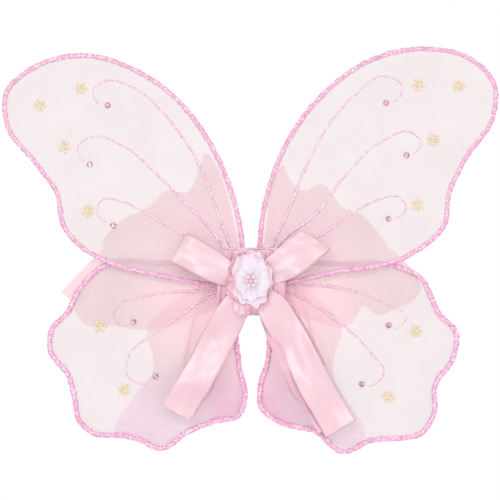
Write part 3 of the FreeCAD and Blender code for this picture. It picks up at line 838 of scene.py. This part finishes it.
def narrowed(stations):
    """The stations' middles and half-width vectors, none of them wider than the ribbon.

    The width is measured across the run, so a slanting fold's edge can be longer."""
    middles = [Vector(middle) for middle, half in stations]
    halves = [Vector(half) for middle, half in stations]
    for k, half in enumerate(halves):
        ahead = middles[min(k + 1, len(middles) - 1)] - middles[max(k - 1, 0)]
        halves[k] = half * min(1.0, RIBBON_HALF / half.cross(ahead.normalized()).length)
    return middles, halves


def between(a, b, c, d, t):
    """The point at t from b to c on a smooth (Catmull-Rom) curve through all four."""
    return 0.5 * (2 * b + (c - a) * t + (2 * a - 5 * b + 4 * c - d) * t ** 2
                  + (3 * b - a - 3 * c + d) * t ** 3)


def ribbon(name, stations, paint, cup, crease, seed):
    """A ribbon through stations of (middle, half-width vector), both in mm."""
    tracks = narrowed(stations)
    last = len(stations) - 1
    rows = []
    for i in range(last):
        near = (max(i - 1, 0), i, i + 1, min(i + 2, last))
        for k in range(RIBBON_ROWS + (i == last - 1)):
            rows.append([between(*[track[n] for n in near], k / RIBBON_ROWS)
                         for track in tracks])
    verts, faces = [], []
    for r, (middle, half) in enumerate(rows):
        ahead = rows[min(r + 1, len(rows) - 1)][0] - rows[max(r - 1, 0)][0]
        normal = half.cross(ahead).normalized()
        for s in range(RIBBON_ACROSS + 1):
            u = 2.0 * s / RIBBON_ACROSS - 1.0
            spot = middle + half * u
            lift = cup * (1.0 - u * u)
            lift += crease * math.sin(7.0 * u + 0.12 * r + seed) * (1 - u * u)
            lift += 0.5 * grain(spot.x, spot.y + seed, spot.z, 0.04)
            spot = spot + normal * lift * max(0.12, normal.y * normal.y)
            verts.append(spot * MM)
    wide = RIBBON_ACROSS + 1
    for r in range(len(rows) - 1):
        for s in range(RIBBON_ACROSS):
            a = r * wide + s
            faces.append([a, a + 1, a + 1 + wide, a + wide])
    made = build(name, verts, faces, paint)
    thick = made.modifiers.new("thick", "SOLIDIFY")
    thick.thickness = RIBBON_THICK * MM
    thick.offset = 0.0
    with bpy.context.temp_override(object=made, active_object=made,
                                   selected_objects=[made]):
        bpy.ops.object.modifier_apply(modifier="thick")
    return made


def declare_ribbon(node):
    """Hides the CAD's piece that a ribbon built here stands in for."""
    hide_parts(node)


left_loop = ribbon("ribbon_loop_left", [
    ((-10, -27, 1), (3.5, 0, 8)), ((-20, -28.8, 5.5), (5, -2.2, 10)),
    ((-32, -29.5, 12.5), (6.2, 1.5, 12)), ((-45, -28.5, 20), (6.8, 3.2, 12.4)),
    ((-58, -25.6, 27), (7, 0.5, 12.7)),
    ((-64.5, -22.6, 30), (7, 3, 12.7)), ((-62, -20.4, 29), (7, 3, 12.6)),
    ((-44, -18.4, 18), (6.8, 0, 12)), ((-24, -20.5, 7), (5, 0, 9)),
    ((-10, -24, 1), (3, 0, 6))], SATIN, cup=1.8, crease=0.5, seed=1.0)
right_loop = ribbon("ribbon_loop_right", [
    ((10, -27, 3), (-5, 0, 7)), ((21, -28.8, 9.5), (-8, -2.5, 10)),
    ((33, -29.5, 17.5), (-11, 2.4, 11.5)), ((45, -28.4, 27), (-13, -1.5, 11)),
    ((54, -26, 34.2), (-14, 1.8, 9.5)),
    ((58, -22.6, 37.5), (-14.5, 0, 8.5)), ((56, -19.6, 35), (-14, 0, 9)),
    ((40, -18.4, 20), (-11, 0, 10)), ((24, -20.5, 9), (-7, 0, 8)),
    ((10, -24, 2), (-4, 0, 5))], SATIN, cup=1.8, crease=0.6, seed=4.0)
declare_ribbon("bow_loop_left")
bend_at_root(left_loop, "upper_left", *LOOP_BEND)
declare_ribbon("bow_loop_right")
bend_at_root(right_loop, "upper_right", *LOOP_BEND)
left_tail = ribbon("ribbon_tail_left", [
    ((-7, -28.5, -10), (-9, 0, 4)), ((-14.5, -29.2, -23), (-12, -2.4, 4.5)),
    ((-22.5, -26.0, -38), (-14, -3.6, 5.5)), ((-32, -21.6, -56), (-14, 2.4, 6)),
    ((-42, -23.6, -75), (-13.8, 4.0, 6.8)), ((-51, -23.6, -91), (-14, 0.0, 7)),
    ((-59, -20.0, -104.5), (-14, -3.4, 7.2)), ((-67.5, -18, -118.5), (-14, 0.5, 7.5))],
    SATIN, cup=1.3, crease=0.3, seed=2.0)
right_tail = ribbon("ribbon_tail_right", [
    ((8, -28.5, -10), (9, 0, 4)), ((18.5, -29.2, -22), (12, 1.6, 6)),
    ((27.5, -26.4, -37), (14, 3.2, 6.5)), ((38, -22.6, -56), (14.5, -2.8, 6.5)),
    ((48, -24.4, -75), (14.5, -4.0, 6.7)), ((58.5, -23.4, -95), (14.3, 1.4, 7.2)),
    ((69, -19.4, -113), (14, 3.0, 7.8)), ((80.5, -18, -133), (13.6, -0.5, 8.2))],
    SATIN, cup=1.3, crease=0.35, seed=6.0)
# the right tail's turned-under fold, a real fold of the ribbon in the deeper satin: painted
# shade along the fold
tail_fold = ribbon("ribbon_tail_fold", [
    ((11, -27.2, -28), (4, 2.0, 1)), ((17.5, -25.2, -45), (4.5, 2.6, 2)),
    ((29, -21.0, -70), (5, 2.4, 2.6)), ((42, -18.4, -95), (5, 1.8, 2.8)),
    ((54, -16.8, -116), (4.6, 1.2, 2.6)), ((65, -16.4, -135), (4, 0.6, 2.4))],
    SATIN_DEEP, cup=-0.6, crease=0.2, seed=9.0)
bend_at_root(tail_fold, "lower_right", *TAIL_BEND)
declare_ribbon("bow_tail_left")
bend_at_root(left_tail, "lower_left", *TAIL_BEND)
declare_ribbon("bow_tail_right")
bend_at_root(right_tail, "lower_right", *TAIL_BEND)

# ---------------------------------------------------------------- centre


def pillow(name, middle, half, power, paint, rings, segs, bulge=0.0, pleats=None):
    """A closed soft form: half sizes along X, Y, Z in mm, squarer with more power."""
    verts, faces = [], []
    cx, cy, cz = middle
    hx, hy, hz = half

    def power_of(v):
        return math.copysign(abs(v) ** (2.0 / power), v)

    for r in range(rings + 1):
        lat = math.pi * r / rings - math.pi / 2
        flat = math.cos(lat) ** 0.35 if 0 < r < rings else 0.0
        lift = math.sin(lat)
        for s in range(segs):
            a = 2.0 * math.pi * s / segs
            x = hx * flat * power_of(math.cos(a))
            z = hz * flat * power_of(math.sin(a))
            y = hy * math.copysign(abs(lift) ** 0.6, lift)
            if bulge:
                swell = 1.0 + bulge * math.sin(9 * a + 0.5) * (1 - abs(lift))
                x, z = x * swell, z * swell
            if pleats and y < 0:
                y += pleats(x, z)
            verts.append(((cx + x) * MM, (cy + y) * MM, (cz + z) * MM))
    for r in range(rings):
        for s in range(segs):
            a, b = r * segs + s, r * segs + (s + 1) % segs
            faces.append([a, b, b + segs, a + segs])
    made = build(name, verts, faces, paint)
    bm = bmesh.new()
    bm.from_mesh(made.data)
    bmesh.ops.remove_doubles(bm, verts=bm.verts, dist=1e-7)
    bmesh.ops.recalc_face_normals(bm, faces=bm.faces)
    bm.to_mesh(made.data)
    bm.free()
    return made


def patch_pleats(x, z):
    lean = x + 0.18 * z * math.sin(x * 0.11)
    return -0.75 * math.sin(lean * 1.05) - 0.35 * math.sin(lean * 2.3 + z * 0.12)


def knot_creases(x, z):
    return 0.5 * math.sin(z * 1.7 + x * 0.2)


patch = pillow("patch_pleated", (0, -24.4, -0.5), (31, 1.5, 30.5), power=7.0,
               paint=SATIN_DEEP, rings=40, segs=160, pleats=patch_pleats)
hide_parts("satin_patch")
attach(patch, "centre")

HEM_HEIGHTS = (29.2, -30.2)
HEM_Y = -25.3
HEM_HALF = 24
HEM_POINTS = 41
HEM_STEP = 1.2


def add_hems():
    """A line of fine glitter along the patch's top and bottom edges."""
    verts, faces = [], []
    for height in HEM_HEIGHTS:
        run = [((-HEM_HALF + k * HEM_STEP, height + 0.15 * math.sin(k)), (1.0, 0.0))
               for k in range(HEM_POINTS)]
        bead_line(run, lambda x, z: HEM_Y, half_wide=0.65, half_deep=0.6, rough=0.5,
                  seed=height, verts=verts, faces=faces, segs=6)
    hem = build("patch_hems", verts, faces, GLITTER_FINE)
    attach(hem, "centre")


add_hems()

wrap = pillow("core_wrap", (0, -13.3, 2), (20.2, 10.2, 22.2), power=2.0, paint=WADDING,
              rings=30, segs=96, bulge=0.03)
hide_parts("padding_front", "padding_back", "binding_front", "binding_back")
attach(wrap, "centre")

pad = pillow("back_felt", (0, -1.6, 2), (20, 1.6, 22), power=2.0, paint=FELT,
             rings=20, segs=96)
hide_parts("back_pad")
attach(pad, "centre")

STITCHES = 44
STITCH_TURN = 0.085         # radians round the pad that one stitch takes up
STITCH_HALF = (17.2, 19.2)  # half width and half height of the ring that they make
STITCH_Y = -0.05
PAD_MIDDLE = 2


def add_stitches():
    """A ring of short stitches round the back pad."""
    verts, faces = [], []
    for k in range(STITCHES):
        a = 2.0 * math.pi * k / STITCHES
        start, end = [(STITCH_HALF[0] * math.cos(t),
                       PAD_MIDDLE + STITCH_HALF[1] * math.sin(t))
                      for t in (a, a + STITCH_TURN)]
        d = unit(end[0] - start[0], end[1] - start[1])
        bead_line([(start, d), (end, d)], lambda x, z: STITCH_Y, half_wide=0.3, half_deep=0.25,
                  rough=0.1, seed=k, verts=verts, faces=faces, segs=6)
    stitches = build("pad_stitches", verts, faces, TAPE)
    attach(stitches, "centre")


add_stitches()

knot = pillow("knot_satin", (0, -28, 0), (9, 3, 7.5), power=3.0, paint=SATIN,
              rings=24, segs=64, pleats=knot_creases)
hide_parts("bow_knot")
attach(knot, "centre")

PETAL_ALONG = 16
PETAL_ACROSS = 18


def petal_layer(name, count, wide, tall, depth, rise, spread, turn, paint, seed, middle,
                lobes=3):
    """Cloth petals round a middle, each a cupped, scalloped and slightly turned blade."""
    dice = random.Random(seed)
    along, across = PETAL_ALONG, PETAL_ACROSS
    verts, faces, uvs = [], [], []
    for n in range(count):
        face_way = 2.0 * math.pi * n / count + turn + dice.uniform(-0.10, 0.10)
        size = dice.uniform(0.93, 1.05)
        lean = dice.uniform(-0.5, 0.5)
        lay = 0.55 * (n % 3) + dice.uniform(0.0, 0.2)
        first = len(verts)
        for r in range(along + 1):
            t = r / along
            full = math.sin(min(1.0, 0.10 + t * 1.05) * math.pi * 0.62) ** 0.8
            for c in range(across + 1):
                u = 2.0 * c / across - 1.0
                a = face_way + u * spread * full
                top = 1.0 - 0.20 * abs(u) ** 2.6
                top *= (1.0 + 0.045 * math.cos(lobes * math.pi * u + seed)
                        + 0.02 * math.sin(9.0 * u + n))
                reach = t * top * size
                x = middle[0] + wide * reach * math.cos(a)
                z = middle[1] + tall * reach * math.sin(a)
                y = depth - lay * min(1.0, 2.0 * t) - rise * t ** 1.4
                y += 0.6 * u * u * t + 0.6 * lean * u * t
                y += 0.18 * t * t * math.sin(5.0 * u + seed + n)
                y += 0.25 * t * grain(x, seed, z, 0.35)
                verts.append((x * MM, y * MM, z * MM))
                uvs.append((0.5 * (u + 1.0) / count + n / count, t))
        for r in range(along):
            for c in range(across):
                a = first + r * (across + 1) + c
                faces.append([a, a + 1, a + across + 2, a + across + 1])
    made = build(name, verts, faces, paint)
    layer = made.data.uv_layers.new(name="petal")
    for polygon in made.data.polygons:
        for i in polygon.loop_indices:
            layer.data[i].uv = uvs[made.data.loops[i].vertex_index]
    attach(made, "centre")
    return made


under = petal_layer("petals_back_a", count=6, wide=21.5, tall=28.5, depth=-30.4, rise=0.4,
                    spread=0.66, turn=0.30, paint=PETAL_UNDER, seed=1, middle=(-3.5, -2.0),
                    lobes=4)
under_b = petal_layer("petals_back_b", count=5, wide=20.0, tall=26.0, depth=-32.0, rise=0.6,
                      spread=0.74, turn=1.0, paint=PETAL_UNDER, seed=2, middle=(-1.0, 1.0),
                      lobes=4)
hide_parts("petals_under")
over = petal_layer("petals_front_a", count=5, wide=19.0, tall=26.5, depth=-33.6, rise=0.7,
                   spread=0.78, turn=0.1, paint=PETAL_OVER, seed=3, middle=(0.5, 3.0))
over_b = petal_layer("petals_front_b", count=5, wide=16.0, tall=22.5, depth=-35.2, rise=0.9,
                     spread=0.80, turn=0.75, paint=PETAL_OVER, seed=4, middle=(1.0, 3.0))
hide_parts("petals_over")

# the pieces whose CAD shape is kept
for node, paint in (("beads", BEAD), ("flower_backing", FELT), ("stiff_plate", BOARD),
                    ("wire_ends_upper", STEEL), ("wire_ends_lower", STEEL),
                    ("strap_tabs_left", TAPE), ("strap_tabs_right", TAPE)):
    frame["nodes"][node].data.materials[0] = paint

# ---------------------------------------------------------------- arm loops

LOOP = [(24, 0, 12), (24, 14, 12), (32, 21, 4), (42, 20, -11), (50, 18.5, -30),
        (56, 17.5, -52), (60, 17, -74), (62, 17, -95), (57.5, 17, -106),
        (48, 17, -110), (38.5, 17, -106), (34, 17, -95), (33, 17, -76),
        (33.5, 17.5, -56), (30, 19, -36), (27, 21, -19), (24, 14, -8), (24, 0, -8)]
CORD_HALF = 1.6


def add_arm_loop(side_name, side):
    """The same route as the CAD's, side being -1 for the left and +1 for the right."""
    data = bpy.data.curves.new("elastic_" + side_name, "CURVE")
    data.dimensions = "3D"
    data.bevel_depth = CORD_HALF * MM
    data.bevel_resolution = 4
    data.resolution_u = 10
    spline = data.splines.new("NURBS")
    spline.points.add(len(LOOP) - 1)
    for spot, (x, y, z) in zip(spline.points, LOOP):
        spot.co = (side * x * MM, y * MM, z * MM, 1.0)
    spline.order_u = 3
    spline.use_endpoint_u = True
    data.materials.append(ELASTIC)
    cord = bpy.data.objects.new("elastic_" + side_name, data)
    scene.collection.objects.link(cord)
    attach(cord, "centre")
    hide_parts("arm_loop_" + side_name)


add_arm_loop("left", -1.0)
add_arm_loop("right", 1.0)
